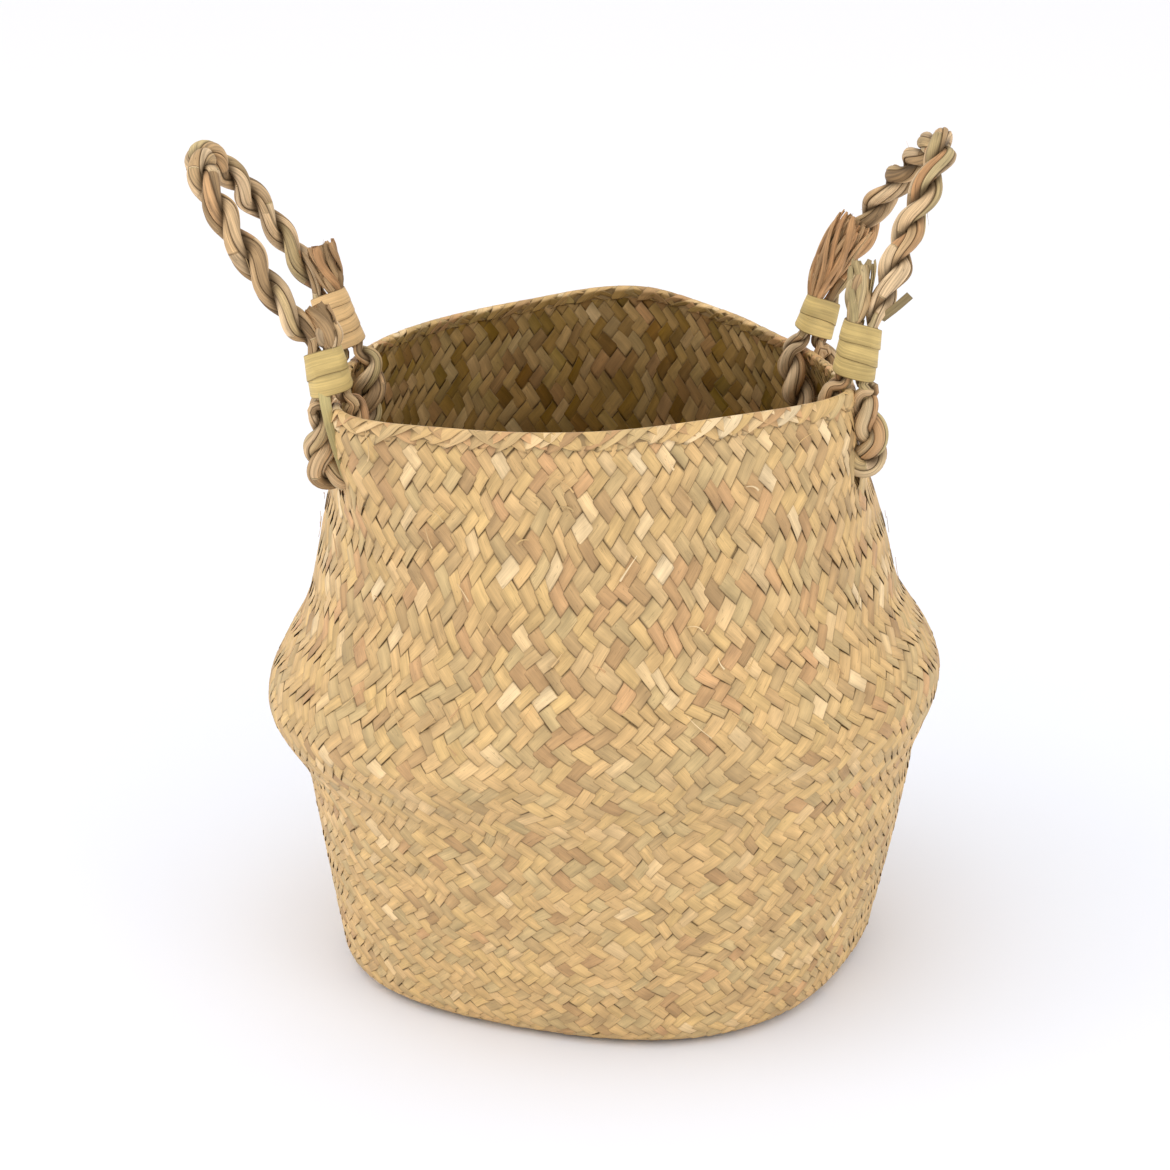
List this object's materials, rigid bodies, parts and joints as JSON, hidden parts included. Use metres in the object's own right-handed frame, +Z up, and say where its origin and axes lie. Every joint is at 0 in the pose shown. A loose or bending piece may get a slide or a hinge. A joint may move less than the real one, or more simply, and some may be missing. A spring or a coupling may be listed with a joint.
{
  "type": "belly basket",
  "caption": "Soft plaited seagrass basket with a flat base, a swollen fold round its middle, a drawn-in open mouth and twisted rope handles bound above the rim.",
  "frame": {"origin": "centre of the underside of the base, on the surface that the basket stands on", "axes": "+Z up; -Y is the front, the straight side of the mouth; the handles are at -X and +X"},
  "size_m": [0.3357, 0.3096, 0.3846],
  "materials": {
    "plait": "diagonal twill plait of flat dried seagrass strips, dry and matt with a faint waxy sheen, tan with beige, honey, grey-green and a few reddish-brown strips, shaded brown in the slits",
    "edge": "the same strips folded over and plaited into a low diagonal bead",
    "rope": "two-strand twisted seagrass rope, brownish tan with reddish and olive fibres, rough and matt, frayed at the cut ends",
    "tie": "flat split strip wound round the rope, yellow-green, smooth, slightly glossy along its fibres",
    "pale_tie": "flat split strip wound round the rope, beige, smooth and slightly glossy along its fibres"
  },
  "bodies": {
    "basket": {"base_mat": "plait", "lower_wall": "plait", "belly_fold": "plait"},
    "upper": {"upper_wall": "plait", "rim_edge": "edge", "left_front_rope": "rope", "left_back_rope": "rope", "right_front_rope": "rope", "right_back_rope": "rope", "left_front_tie": "tie", "left_back_tie": "pale_tie", "right_front_tie": "tie", "right_back_tie": "tie", "left_front_tail": "rope", "left_back_tail": "rope", "right_front_tail": "rope", "right_back_tail": "rope"},
    "left_handle": {"left_bow": "rope"},
    "right_handle": {"right_bow": "rope"}
  },
  "joints": [
    {"name": "belly_press", "type": "slide", "parent": "basket", "child": "upper", "axis": [0, 0, -1], "range_m": [0, 0.04], "deforming": ["belly_fold"]},
    {"name": "left_handle", "type": "hinge", "parent": "upper", "child": "left_handle", "pos_m": [-0.12694, -0.0227, 0.30763], "axis": [-0.0527, 0.9969, 0.0591], "range_deg": [-48, 102], "deforming": ["left_front_tail", "left_back_tail"]},
    {"name": "right_handle", "type": "hinge", "parent": "upper", "child": "right_handle", "pos_m": [0.11096, -0.00288, 0.30696], "axis": [-0.1021, 0.9844, -0.1432], "range_deg": [-91, 54], "deforming": ["right_front_tail", "right_back_tail"]}
  ]
}
